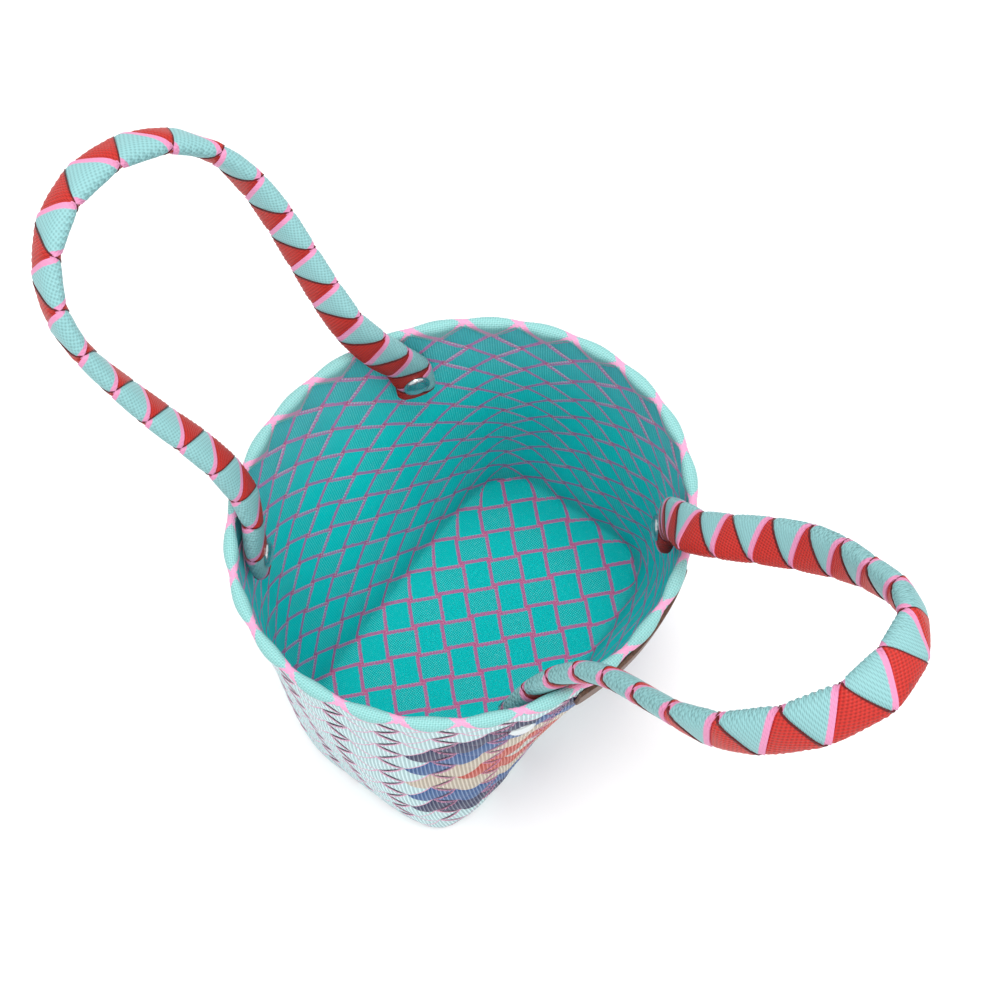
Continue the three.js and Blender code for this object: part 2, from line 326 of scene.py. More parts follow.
def add(kind, inputs=None, **settings):
    """A new node of the current tree with its settings, and with its inputs linked or set."""
    made = CURRENT["tree"].nodes.new(kind)
    for key, value in settings.items():
        setattr(made, key, value)
    for key, value in (inputs or {}).items():
        feed(value, socket(made.inputs, key) if isinstance(key, str) else made.inputs[key])
    return made


def calc(operation, *values):
    return add("ShaderNodeMath", dict(enumerate(values)), operation=operation).outputs[0]


plus, minus, times, over = [partial(calc, kind) for kind in ("ADD", "SUBTRACT", "MULTIPLY", "DIVIDE")]
power, larger, size, sine = [partial(calc, kind) for kind in ("POWER", "MAXIMUM", "ABSOLUTE", "SINE")]


def vector_calc(operation, *values):
    return add("ShaderNodeVectorMath", dict(enumerate(values)), operation=operation).outputs[0]


def split(vector):
    """The X, Y and Z of a vector."""
    return add("ShaderNodeSeparateXYZ", {0: vector}).outputs


def named(name, kind):
    """A named attribute, read from the mesh."""
    made = add("GeometryNodeInputNamedAttribute", {"Name": name}, data_type=kind)
    return socket(made.outputs, "Attribute")


def keep(geometry, name, kind, domain, value):
    """The geometry with a value stored on it under a name."""
    inputs = {"Geometry": geometry, "Name": name, "Value": value}
    made = add("GeometryNodeStoreNamedAttribute", inputs, data_type=kind, domain=domain)
    return made.outputs["Geometry"]


def laid_out(points, instance, rotation, scale):
    """Real copies of a mesh, one on each point."""
    inputs = {"Points": points, "Instance": instance, "Rotation": rotation, "Scale": scale}
    laid = add("GeometryNodeInstanceOnPoints", inputs)
    return add("GeometryNodeRealizeInstances", {0: laid.outputs[0]}).outputs[0]


def painted(geometry, finish):
    return add("GeometryNodeSetMaterial", {"Geometry": geometry, "Material": finish}).outputs[0]


def new_tree(name, inputs):
    """A geometry tree with named inputs, and one mesh as its output."""
    tree = bpy.data.node_groups.new(name, "GeometryNodeTree")
    CURRENT["tree"] = tree
    for label, (kind, value) in inputs.items():
        item = tree.interface.new_socket(label, in_out="INPUT", socket_type=kind)
        if value is not None:
            item.default_value = value
    tree.interface.new_socket("Mesh", in_out="OUTPUT", socket_type="NodeSocketGeometry")
    return tree, add("NodeGroupInput").outputs, add("NodeGroupOutput").inputs


WELD_DISTANCE = 0.00005
PLAIT_INPUTS = {
    "Spots": ("NodeSocketGeometry", None),
    "Guide": ("NodeSocketObject", None),
    "Finish": ("NodeSocketMaterial", None),
    "Steps along": ("NodeSocketInt", 8),
    "Steps across": ("NodeSocketInt", 6),
    "Length": ("NodeSocketFloat", 1.0),
    "Width": ("NodeSocketFloat", 1.04),
    "Lift": ("NodeSocketFloat", 0.0005),
    "Flatness": ("NodeSocketFloat", 3.0),
    "Crown": ("NodeSocketFloat", 0.0),
}


def plait_tree():
    tree, given, done = new_tree("plait", PLAIT_INPUTS)
    square = add("GeometryNodeMeshGrid", {
        "Size X": given["Length"],
        "Size Y": given["Width"],
        "Vertices X": plus(given["Steps along"], 1.0),
        "Vertices Y": plus(given["Steps across"], 1.0),
    })
    place = add("GeometryNodeInputPosition").outputs[0]
    parts = split(place)
    across = over(parts["Y"], given["Width"])
    strap = add("ShaderNodeCombineXYZ", {"X": parts["X"], "Y": across}).outputs[0]
    mesh = keep(square.outputs["Mesh"], "along", "FLOAT", "POINT", parts["X"])
    mesh = keep(mesh, "across", "FLOAT", "POINT", across)
    mesh = keep(mesh, "strap", "FLOAT2", "CORNER", strap)
    turn = add("ShaderNodeCombineXYZ", {"Z": named("turn", "FLOAT")}).outputs[0]
    mesh = laid_out(given["Spots"], mesh, turn, (math.sqrt(2.0), math.sqrt(2.0), 1.0))
    mesh = keep(mesh, "dye", "FLOAT_COLOR", "FACE", named("ink", "FLOAT_COLOR"))
    mesh = keep(mesh, "weave", "FLOAT2", "CORNER", place)

    from_middle = size(times(named("along", "FLOAT"), 2.0))
    bulge = minus(1.0, power(from_middle, given["Flatness"]))
    bulge = larger(bulge, -1.0)
    side = named("side", "FLOAT")
    crown = times(given["Crown"], calc("GREATER_THAN", side, 0.0))
    crown = over(crown, larger(times(side, side), 1.0))
    from_edge = power(times(named("across", "FLOAT"), 2.0), 2.0)
    lowered = minus(1.0, times(from_edge, crown))
    height = times(times(times(bulge, lowered), side), given["Lift"])

    plan = vector_calc("ADD", place, (PLAN_SHIFT, PLAN_SHIFT, 0.0))
    plan = vector_calc("MULTIPLY", plan, (1.0 / PLAN_SIZE, 1.0 / PLAN_SIZE, 0.0))
    guide = add("GeometryNodeObjectInfo", {"Object": given["Guide"]}).outputs["Geometry"]
    looked_up = []
    for value in (place, named("lift", "FLOAT_VECTOR")):
        inputs = {"Mesh": guide, "Value": value, "Sample UV": plan}
        inputs["UV Map"] = named("plan", "FLOAT_VECTOR")
        look = add("GeometryNodeSampleUVSurface", inputs, data_type="FLOAT_VECTOR")
        looked_up.append(socket(look.outputs, "Value"))
    rise = add("ShaderNodeVectorMath", {0: looked_up[1], "Scale": height}, operation="SCALE")
    lifted = vector_calc("ADD", looked_up[0], rise.outputs[0])
    mesh = add("GeometryNodeSetPosition", {"Geometry": mesh, "Position": lifted}).outputs[0]
    mesh = add("GeometryNodeMergeByDistance", {"Geometry": mesh, "Distance": WELD_DISTANCE}).outputs[0]
    mesh = add("GeometryNodeSetShadeSmooth", {0: mesh}).outputs[0]
    feed(painted(mesh, given["Finish"]), done[0])
    return tree


PLAIT = plait_tree()
print("plait tree:", len(PLAIT.nodes), "nodes")

# %% [markdown]
# The tree makes a thin sheet. A strap has two sides and cut edges, so Solidify gives it its
# thickness, with one finish for each side and one for the edges. The cut edges are marked sharp, or
# smooth shading would round them and darken a broad band along every strap. The result is turned
# into a plain mesh, because instances and live trees don't survive the export.

# %% from spots to straps
RISING = math.radians(45.0)
FALLING = math.radians(135.0)
CUT_EDGE_ANGLE = math.radians(40.0)


def plain_mesh(thing):
    """The evaluated object as a mesh of its own."""
    graph = bpy.context.evaluated_depsgraph_get()
    return bpy.data.meshes.new_from_object(
        thing.evaluated_get(graph), preserve_all_data_layers=True, depsgraph=graph)


def new_piece(name, mesh):
    piece = bpy.data.objects.new(name, mesh)
    bpy.context.collection.objects.link(piece)
    return piece


def grown(mesh, tree, **values):
    """The plain mesh that a tree makes from the points of a mesh."""
    layout = new_piece(mesh.name + "_layout", mesh)
    nodes = layout.modifiers.new(tree.name, "NODES")
    nodes.node_group = tree
    for item in tree.interface.items_tree:
        key = item.name.lower().replace(" ", "_")
        if key in values:
            nodes[item.identifier] = values[key]
    made = plain_mesh(layout)
    bpy.data.objects.remove(layout)
    return made


def plait(name, guide, spots, finishes, thickness, **sizes):
    """Straps through a list of spots: (plan x, plan y, turn, side, dye)."""
    x, y, turns, sides, dyes_and_edge_shades = zip(*spots)
    points = bpy.data.meshes.new(name)
    points.from_pydata([(*place, 0.0) for place in zip(x, y)], [], [])
    put(points, "turn", "FLOAT", "POINT", turns)
    put(points, "side", "FLOAT", "POINT", sides)
    put(points, "ink", "FLOAT_COLOR", "POINT", dyes_and_edge_shades)
    piece = new_piece(name, grown(points, PLAIT, guide=guide, finish=finishes[0], **sizes))
    for finish in finishes[1:]:
        piece.data.materials.append(finish)
    thick = piece.modifiers.new("thickness", "SOLIDIFY")
    thick.thickness = thickness
    thick.offset = 0.0
    thick.material_offset = 1
    thick.material_offset_rim = 2
    piece.data = plain_mesh(piece)
    piece.modifiers.clear()
    piece.data.set_sharp_from_angle(angle=CUT_EDGE_ANGLE)
    print(name + ":", len(spots), "crossings,", len(piece.data.loop_triangles), "triangles")
    return piece


# %% [markdown]
# ## The strap's finish
# The strapping is extruded plastic, coloured through, with a pink band along both edges and a
# fine waffle pressed into it. It is painted pale aqua outside, as it looks where light falls on it,
# and a deep teal inside, as light bouncing in the bag deepens it: one strapping, painted as a lit
# and a shaded copy. Both come from one recipe with other colours. The recipe also paints shade into
# the hollows of the waffle and highlights onto it: lighter crests, pale glints and white dashes.
# The strap's own UV map says how far a point is from the strap's edge, so the pink bands follow
# every bend. Straps of one direction show their waffled side inside the bag, and straps of the other
# direction show their smooth side.

# %% strap materials
BLACK = (0.0, 0.0, 0.0, 1.0)
# Heights where the inside changes from floor to wall and from wall to rim; the painted floor shade and
# painted rim light follow them.
FLOOR_FADE = (0.004, 0.03)
RIM_FADE = (0.1, 0.18)
# Where the painted shade of the pattern's hollows and the painted highlight of its crests set in.
HOLLOW_EDGE = (-0.9, 0.4)
CREST_HIGHLIGHT_EDGE = (0.3, 0.9)
EMBOSS_STRENGTH = 0.8
STRAP_EDGE = 0.5
BAND_BLUR = 0.012
STRAP_END = (0.4, 0.47)
NOISE_MIDDLE = 0.5
FRAY_SCALE = 1500.0
# Painted glints, then painted white dashes along the strap's edge.
GLINT_SCALE = 1700.0
GLINT_EDGE = (0.56, 0.7)
GLINT_DASH_PACE = 2 * math.pi * 9.0
GLINT_DASH_EDGE = (-0.1, 0.3)
GLINT_DASH_PLACE = (0.44, 0.455)
GLINT_DASH_ON_FLOOR = 0.3


def color_mix(share, first, second):
    made = add("ShaderNodeMix", {0: share, "A": first, "B": second}, data_type="RGBA")
    return socket(made.outputs, "Result")


def linear(red, green, blue):
    """A screen colour from 0 to 255 as the linear colour that shaders use."""
    values = np.array([red, green, blue]) / 255.0
    light = np.where(values <= 0.04045, values / 12.92, ((values + 0.055) / 1.055) ** 2.4)
    return (*light.tolist(), 1.0)


def new_material(name, roughness):
    """A material and the inputs of its shader."""
    material = bpy.data.materials.new(name)
    material.use_nodes = True
    CURRENT["tree"] = material.node_tree
    inputs = material.node_tree.nodes["Principled BSDF"].inputs
    inputs["Roughness"].default_value = roughness
    return material, inputs


def plain_material(name, roughness, color, metallic=0.0):
    material, inputs = new_material(name, roughness)
    inputs["Base Color"].default_value = color
    inputs["Metallic"].default_value = metallic
    return material


def noise(place, scale, detail=2.0):
    inputs = {"Vector": place, "Scale": scale, "Detail": detail}
    return add("ShaderNodeTexNoise", inputs).outputs["Fac"]


def ramp(value, low, high):
    """A soft step from 0 at the low value to 1 at the high value."""
    inputs = {"Value": value, "From Min": low, "From Max": high}
    return add("ShaderNodeMapRange", inputs, interpolation_type="SMOOTHSTEP").outputs["Result"]


def emboss(inputs, relief, strength, depth):
    """Presses a pattern into a surface, to a depth in millimetres."""
    bump = add("ShaderNodeBump", {"Strength": strength, "Distance": depth * MM, "Height": relief})
    feed(bump.outputs[0], inputs["Normal"])


def waffle(plan, along, across, lean, ribbed):
    """Small pillows in rows along and across the strap, drawn out into ribs where it is ribbed."""
    parts = split(plan)
    square_on = plus(parts["X"], times(parts["Y"], lean))
    run = sine(times(square_on, 2 * math.pi * along))
    row = sine(times(parts["Y"], 2 * math.pi * across))
    return plus(times(run, ribbed), times(times(run, row), 1.0 - ribbed))


def strap_material(name, look):
    """Strapping with a pressed pattern and edge bands, painted shade in hollows and painted highlights.
    """
    material, inputs = new_material(name, look["roughness"])
    inputs["Specular IOR Level"].default_value = look["gloss"]
    strap = split(add("ShaderNodeUVMap", uv_map="strap").outputs["UV"])
    spot = add("ShaderNodeTexCoord").outputs["Object"]
    height = split(spot)["Z"]
    up_the_wall = ramp(height, *FLOOR_FADE)
    near_rim = ramp(height, *RIM_FADE)

    body = look["body"]
    if body is None:
        body = add("ShaderNodeAttribute", attribute_name="dye").outputs["Color"]
    # Painted light and shade: inside the bag the teal is painted deeper on the floor and greyer near the
    # rim, standing in for how light falls and bounces inside the bag.
    if look["body_high"] is not None:
        body = color_mix(up_the_wall, look["body_low"], body)
        body = color_mix(near_rim, body, look["body_high"])
    pressed = add("ShaderNodeUVMap", uv_map=look["pressed_on"]).outputs["UV"]
    relief = waffle(pressed, look["along"], look["across"], look["lean"], look["ribbed"])
    # Painted shade: the hollows of the pressed pattern are darkened towards black, more so near the rim
    # on some looks.
    hollows = minus(1.0, ramp(relief, *HOLLOW_EDGE))
    hollow_shade = plus(look["hollow_shade"], times(near_rim, look["rim_hollow_shade"]))
    color = color_mix(hollows, body, color_mix(hollow_shade, body, BLACK))
    # Painted highlight: the crests of the pressed pattern are lightened.
    crest_highlights = times(ramp(relief, *CREST_HIGHLIGHT_EDGE), look["crest_highlight_share"])
    color = color_mix(crest_highlights, color, look["crest"])

    fray = times(minus(noise(spot, FRAY_SCALE), NOISE_MIDDLE), look["fray"])
    past_band = minus(plus(size(strap["Y"]), fray), STRAP_EDGE - look["band"])
    pink = color_mix(up_the_wall, look["pink_low"], look["pink"])
    pink = color_mix(ramp(size(strap["X"]), *STRAP_END), pink, look["pink_end"])
    color = color_mix(ramp(past_band, -BAND_BLUR, BAND_BLUR), color, pink)
    # Painted highlights: small pale glints scattered by noise.
    glints = times(ramp(noise(spot, GLINT_SCALE), *GLINT_EDGE), look["glint_share"])
    color = color_mix(glints, color, GLINT_COLOR)
    # Painted highlights: white dashes along one edge of the strap, fainter on the floor.
    glint_dashes = ramp(sine(times(strap["X"], GLINT_DASH_PACE)), *GLINT_DASH_EDGE)
    glint_dash_side = times(strap["Y"], math.copysign(1.0, look["glint_dash"]))
    glint_dashes = times(glint_dashes, ramp(glint_dash_side, *GLINT_DASH_PLACE))
    glint_dashes = times(glint_dashes, plus(times(up_the_wall, 1.0 - GLINT_DASH_ON_FLOOR), GLINT_DASH_ON_FLOOR))
    color = color_mix(times(glint_dashes, abs(look["glint_dash"])), color, GLINT_DASH_COLOR)
    feed(color, inputs["Base Color"])
    emboss(inputs, relief, EMBOSS_STRENGTH, look["depth"])
    return material


def one_pink(red, green, blue):
    """The same band colour everywhere on a strap."""
    color = linear(red, green, blue)
    return {"pink": color, "pink_low": color, "pink_end": color}


# Colours of the painted glints and of the painted white dashes.
GLINT_COLOR = linear(170, 232, 230)
GLINT_DASH_COLOR = linear(216, 236, 236)
# Each look also sets the painted shade in the hollows, the painted highlights on the crests, the painted
# glints and white dashes, and, inside the bag, the painted floor shade and rim light.
INSIDE_LOOK = {
    "body": linear(0, 234, 230), "body_low": linear(0, 211, 208), "body_high": linear(90, 204, 211),
    "pink": linear(212, 136, 192), "pink_low": linear(214, 116, 168), "pink_end": linear(232, 104, 152),
    "band": 0.12, "fray": 0.13, "glint_dash": 0.7,
    "pressed_on": "strap", "along": 11.0, "across": 11.0, "lean": 0.0, "ribbed": 0.0, "depth": 0.2,
    "hollow_shade": 0.32, "crest": linear(150, 244, 240), "crest_highlight_share": 0.5, "glint_share": 0.3,
    "roughness": 0.5, "gloss": 0.12, "rim_hollow_shade": 0.0,
}
SMOOTH_LOOK = {
    **INSIDE_LOOK, "glint_dash": -0.7, "hollow_shade": 0.12, "crest_highlight_share": 0.0, "glint_share": 0.15,
    "rim_hollow_shade": 0.22,
}
# Outside, the same strapping is painted pale aqua, a lit copy of the teal painted inside the bag.
OUTSIDE_LOOK = {
    **INSIDE_LOOK, "body": linear(208, 243, 247), "body_high": None,
    **one_pink(234, 176, 206), "band": 0.055, "fray": 0.09, "glint_dash": 0.0,
    "pressed_on": "weave", "along": 6.5, "across": 6.5, "lean": 0.06, "ribbed": 0.92, "depth": 0.6,
    "hollow_shade": 0.36, "crest": linear(238, 248, 248), "crest_highlight_share": 0.35,
    "glint_share": 0.1, "gloss": 0.3,
}
RIM_LOOK = {
    **OUTSIDE_LOOK, "body": linear(140, 200, 198), **one_pink(228, 156, 192),
    "band": 0.13, "pressed_on": "strap", "along": 12.0, "across": 12.0, "ribbed": 0.2, "depth": 0.14,
    "hollow_shade": 0.28, "crest_highlight_share": 0.15,
}
strap_inside = strap_material("strap_inside", INSIDE_LOOK)
strap_smooth = strap_material("strap_smooth", SMOOTH_LOOK)
strap_outside = strap_material("strap_outside", OUTSIDE_LOOK)
strap_rim = strap_material("strap_rim", RIM_LOOK)

strap_edge, edge_inputs = new_material("strap_edge", roughness=0.3)
# Painted shade: cut edges of crossings on top outside the bag are painted darker than those on top
# inside.
edge_shade_flag = add("ShaderNodeAttribute", attribute_name="dye").outputs["Fac"]
edge_color_with_shade = color_mix(edge_shade_flag, linear(186, 140, 162), linear(226, 170, 200))
feed(edge_color_with_shade, edge_inputs["Base Color"])
print("strap finishes: waffled and smooth inside, outside, rim and cut edge")

# %% [markdown]
# ## The plaited floor and walls
# On the wall, straps that rise to one side lie on top inside the bag on odd rows, and straps that
# rise to the other side on even rows. On the floor the rule is the same with the plan's own rows.
# Inside, the straps lie flat and tight, and come a little loose towards the rim. Outside they stand
# off the wall in small pillows, and the dark gaps under their edges make the outside look coarse.
# The two directions become two pieces, so each stays light enough to handle.

# %% floor and wall straps
STRAP_THICKNESS = 0.35
WEAVE_LIFT = 0.3
WEAVE_CROWN = 0.7
OUTSIDE_PUFF = 3.0
PUFF_ROWS = 2.0
INSIDE_PUFF = 2.9
LOOSE_ROWS = 6.0
# White marks a crossing on top inside the bag and black one on top outside; the cut-edge finish reads
# this to paint shade on the outside ones. Coloured straps carry their real dye in the same place.
ON_TOP_INSIDE = (1.0, 1.0, 1.0, 1.0)
ON_TOP_OUTSIDE = (0.0, 0.0, 0.0, 1.0)


def crossing(x, y, turn, inside, loose, puff):
    """One crossing of a strap that lies on top inside the bag, or else outside."""
    if inside:
        return x, y, turn, loose, ON_TOP_INSIDE
    return x, y, turn, -puff, ON_TOP_OUTSIDE


def wall_spots(turn, on_top_when_odd):
    spots = []
    for row in range(ROWS):
        inside = (row % 2 == 1) == on_top_when_odd
        loose = mix(INSIDE_PUFF, 1.0, min((ROWS - row) / LOOSE_ROWS, 1.0))
        puff = mix(1.0, OUTSIDE_PUFF, min(row / PUFF_ROWS, 1.0))
        for x in range((row + 1) % 2, 2 * COLUMNS, 2):
            spots.append(crossing(x, row, turn, inside, loose, puff))
    return spots


def floor_spots(turn, on_top_when_odd):
    spots = []
    for y in range(1 - SHORT, SHORT):
        inside = (y % 2 == 1) == on_top_when_odd
        for x in range(1 - LONG, LONG):
            if (x + y) % 2 == 1:
                place = (x + FLOOR_PLAN_SHIFT[0], y + FLOOR_PLAN_SHIFT[1])
                spots.append(crossing(*place, turn, inside, 1.0, 1.0))
    return spots


FAMILIES = [
    ("straps_rising", RISING, True, strap_inside),
    ("straps_falling", FALLING, False, strap_smooth),
]
for name, turn, odd, inside_finish in FAMILIES:
    spots = wall_spots(turn, odd) + floor_spots(turn, odd)
    finishes = [strap_outside, inside_finish, strap_edge]
    piece = plait(name, bag_guide, spots, finishes, STRAP_THICKNESS * MM, lift=WEAVE_LIFT * MM,
                  crown=WEAVE_CROWN)
    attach(piece, "root")
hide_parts("basket")

# %% [markdown]
# ## The folded rim
# At the mouth one set of straps folds over the edge and tucks back into the weave outside. Each
# fold is one square of strap lying across the crest, so the rim reads as a row of puffy rolls with
# a slanting pink mark between them. The straps of the other set end under these folds and close the
# notches between them. The guide here is the roll itself, a little fuller in the middle of each fold
# than at the marks.

# %% rim folds
RIM_ROLL_RADIUS = 2.1
RIM_PUFF = 0.24
RIM_TAIL = 12.0
RIM_TAIL_TAPER = 0.1
RIM_STEPS = 41
RIM_STEPS_PER_HALF_COLUMN = 4
RIM_LENGTH = 1.3
RIM_FOLD_WIDTH = 1.08
RIM_LIFT = 0.3
ROW_LENGTH = 10.0


def rim_places(columns, rows):
    """The roll's surface: inside the bag at the first row, over the crest, outside at the last."""
    out = np.empty((len(rows), len(columns), 3))
    for index, column in enumerate(columns):
        radius = RIM_ROLL_RADIUS * (1.0 + RIM_PUFF * math.cos(2 * math.pi * column))
        for level, row in enumerate(rows):
            run = (row - ROWS) * ROW_LENGTH
            bend = np.clip(run / radius, -math.pi / 2, math.pi / 2)
            straight = max(abs(run) - radius * math.pi / 2, 0.0)
            reach = radius * math.sin(bend) - math.copysign(RIM_TAIL_TAPER * straight, run)
            height = HEIGHT - radius * (1.0 - math.cos(bend)) - straight
            x, y = outline(height, column, -reach)
            out[level, index] = (x, y, height)
    return out


rim_x = plan_round(RIM_STEPS_PER_HALF_COLUMN)
rim_y = np.linspace(ROWS - RIM_TAIL / ROW_LENGTH, ROWS + RIM_TAIL / ROW_LENGTH, RIM_STEPS)
rim = rim_places(rim_x / 2, rim_y)
rim_guide = guide_mesh("rim_guide", [(rim_x, rim_y, rim, -facing(rim))])
rim_finishes = [strap_inside, strap_rim, strap_edge]
for name, turn, side in (("rim_folds", RISING, 1.0), ("rim_tucks", FALLING, 0.0)):
    rim_spots = [(x, ROWS, turn, side, ON_TOP_INSIDE) for x in range(0, 2 * COLUMNS, 2)]
    piece = plait(name, rim_guide, rim_spots, rim_finishes, STRAP_THICKNESS * MM,
                  length=RIM_LENGTH, width=RIM_FOLD_WIDTH, lift=RIM_LIFT * MM,
                  steps_along=18, steps_across=14)
    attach(piece, "root")
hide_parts("rim_fold")

# %% [markdown]
# ## Where the handles run
# Each handle starts flat against the inside of the wall, passes over the rim and loops outwards.
# Its path is a smooth curve through a few listed stations. A station in the loop says how far
# across and how far out it lies in the tilted plane of the loop, and how far the flat side has
# rolled. The stations are those of the solids, so the wound straps lie where the solid handles are.

# %% handle paths
SEAT_GAP = 0.3
RIM_WIDTH = 4.8
HANDLE_WIDTH = 18.5
HANDLE_THICKNESS = 8.5
HANDLE_ROUNDNESS = 2.5
HANDLE_TILT = math.radians(46.0)
HANDLE_HINGE = {"out": 69.5, "height": 188.5}
HANDLE_END_BELOW_RIVET = 9.0
HANDLE_FLAT_ABOVE_RIVET = 7.0
HANDLE_STEPS = 240
FRAME_STEP = 0.5
CURVE_STEPS = 60
HANDLES = {
    "handle_back": {
        "side": 1,
        "feet": [(1.65, 152.0, 2.1), (6.65, 152.0, 6.2)],
        "loop": [(34, 18, 66), (39, 50, 76), (44, 80, 82), (42, 104, 98), (30, 122, 114), (6, 134, 116),
                 (-19, 134, 108), (-41, 121, 90), (-52, 100, 82), (-51, 62, 54), (-46, 22, 40)],
    },
    "handle_front": {
        "side": -1,
        "feet": [(18.7, 138.0, 18.1), (13.6, 144.0, 14.2)],
        "loop": [(35, 26, 8), (36, 62, 28), (35, 93, 58), (28, 122, 88), (16, 145, 75), (-6, 150, 116),
                 (-22, 142, 113), (-36, 120, 102), (-42, 95, 92), (-38, 63, 76), (-33, 27, 68)],
    },
}


def unit(direction):
    return direction / np.linalg.norm(direction, axis=-1, keepdims=True)


def wall_frame(column, height):
    """A place on the middle of the wall, with the directions along, up and out of it."""
    def at(col, level):
        return np.append(outline(level, col), level)
    along = unit(at(column + FRAME_STEP, height) - at(column - FRAME_STEP, height))
    rise = unit(at(column, height + FRAME_STEP) - at(column, height - FRAME_STEP))
    return at(column, height), along, rise, unit(np.cross(along, rise))


def handle_stations(side, feet, loop):
    """Places from the +X foot to the -X foot, each with the direction of the flat side."""
    outward = np.array([0.0, side * math.cos(HANDLE_TILT), math.sin(HANDLE_TILT)])
    normal = np.array([0.0, -side * math.sin(HANDLE_TILT), math.cos(HANDLE_TILT)])
    hinge = np.array([0.0, side * HANDLE_HINGE["out"], HANDLE_HINGE["height"]])
    seat_inset = WALL / 2 + SEAT_GAP + HANDLE_THICKNESS / 2
    rim_inset = RIM_WIDTH / 2 + 2 * SEAT_GAP + HANDLE_THICKNESS / 2
    legs = []
    for (column, height, over_rim), outer in zip(feet, (1.0, -1.0)):
        point, along, rise, out = wall_frame(column, height)
        rim_point, _, _, rim_out = wall_frame(over_rim, HEIGHT)
        seat = point - out * seat_inset
        leg = [seat - rise * HANDLE_END_BELOW_RIVET, seat, seat + rise * HANDLE_FLAT_ABOVE_RIVET]
        leg.append(rim_point - rim_out * rim_inset)
        legs.append([(place, along * math.copysign(outer, outer * along[0])) for place in leg])
    rows = []
    for index, (across, out, roll) in enumerate(loop):
        before = loop[max(index - 1, 0)]
        after = loop[min(index + 1, len(loop) - 1)]
        run = unit(np.array([after[0] - before[0], 0.0, 0.0]) + outward * (after[1] - before[1]))
        sideways = unit(np.cross(run, normal)) * side
        roll = math.radians(roll)
        place = hinge + outward * out
        place[0] = across
        rows.append((place, sideways * math.cos(roll) + normal * math.sin(roll)))
    return legs[0] + rows + legs[1][::-1]


def smooth_path(places, steps):
    """Equal steps along a smooth curve through the places, and where each falls among them."""
    padded = np.concatenate([[2 * places[0] - places[1]], places, [2 * places[-1] - places[-2]]])
    share = np.linspace(0.0, 1.0, CURVE_STEPS, endpoint=False)
    curve, station = [], []
    for index in range(len(places) - 1):
        a, b, c, d = padded[index:index + 4]
        ab, bc, cd = (math.sqrt(np.linalg.norm(gap)) for gap in (b - a, c - b, d - c))
        leave = ((b - a) / ab - (c - a) / (ab + bc) + (c - b) / bc) * bc
        arrive = ((c - b) / bc - (d - b) / (bc + cd) + (d - c) / cd) * bc
        s = share[:, None]
        curve.append(b + leave * s + (3 * (c - b) - 2 * leave - arrive) * s ** 2
                     + (2 * (b - c) + leave + arrive) * s ** 3)
        station.append(index + share)
    curve = np.concatenate(curve + [places[-1:]])
    station = np.concatenate(station + [[len(places) - 1.0]])
    run = run_along(curve)
    wanted = np.linspace(0.0, run[-1], steps + 1)
    return path_at(wanted, run, curve), np.interp(wanted, run, station), run[-1]


def handle_spine(name):
    """Points of a handle's middle with the directions of its width and its thickness."""
    places, flats = (np.array(part) for part in zip(*handle_stations(**HANDLES[name])))
    points, station, length = smooth_path(places, HANDLE_STEPS)
    flat = path_at(station, np.arange(len(flats)), flats)
    tangent = unit(np.gradient(points, axis=0))
    wide = unit(flat - tangent * np.sum(flat * tangent, axis=1, keepdims=True))
    return points, wide, np.cross(tangent, wide), length


SPINES = {name: handle_spine(name) for name in HANDLES}
for name, spine in SPINES.items():
    print(name, "is", round(spine[-1]), "mm long from end to end")

# %% [markdown]
# ## The wound handles
# A handle is a soft core bound by two straps, a red one and a pale one, that run round it in
# opposite directions and cross on the narrow edges. Unrolled, that is the same plait as the wall,
# only two straps wide, so the same tree makes it. The pale strap lies on top along one edge and the
# red one along the other, and that gives the row of triangles on the flat sides.

# %% handle finishes
WOUND_LOOK = {
    **INSIDE_LOOK, "body": linear(139, 190, 192), "body_high": None,
    **one_pink(216, 140, 177), "band": 0.115, "fray": 0.03, "glint_dash": 0.0, "crest_highlight_share": 0.0,
    "along": 14.0, "across": 9.5, "lean": -0.73, "ribbed": 0.0, "depth": 0.1,
    "hollow_shade": 0.28, "glint_share": 0.0, "roughness": 0.45, "gloss": 0.25,
}
RED = linear(194, 46, 38)
# The red strap's edge band and cut edges are dark red: partly the strap's darker cut edge, partly painted
# shadow for the line where it meets the pale strap. The core's grain uses the same dark red.
RED_EDGE = linear(92, 10, 12)
RED_LOOK = {
    **WOUND_LOOK, "body": RED, "pink": RED_EDGE, "pink_low": RED_EDGE, "pink_end": RED_EDGE,
    "band": 0.03, "depth": 0.18, "hollow_shade": 0.4,
}
CORE_GRAIN = 600.0

wound_aqua = strap_material("wound_aqua", WOUND_LOOK)
wound_red = strap_material("wound_red", RED_LOOK)
pink_edge = plain_material("wound_pink_edge", roughness=0.5, color=WOUND_LOOK["pink"])
red_edge = plain_material("wound_red_edge", roughness=0.5, color=RED_EDGE)
core_material, core_inputs = new_material("handle_core", roughness=0.5)
core_spot = add("ShaderNodeTexCoord").outputs["Object"]
core_color = color_mix(noise(core_spot, CORE_GRAIN), RED_EDGE, RED)
feed(core_color, core_inputs["Base Color"])
print("handle finishes: pale strap, red strap and core")

# %% [markdown]
# The straps fold sharply where they turn round an edge and run straight in between, so a handle
# has a row of small flat faces. The guide copies that: along the pale edge it bends only where two
# pale turns meet, and along the red edge only where two red turns meet. Turns are not quite evenly
# spaced, because they were wound by hand: the pitch swells round the bends and the red folds lean
# forward or back a little. Past the last fold the guide closes over the end.

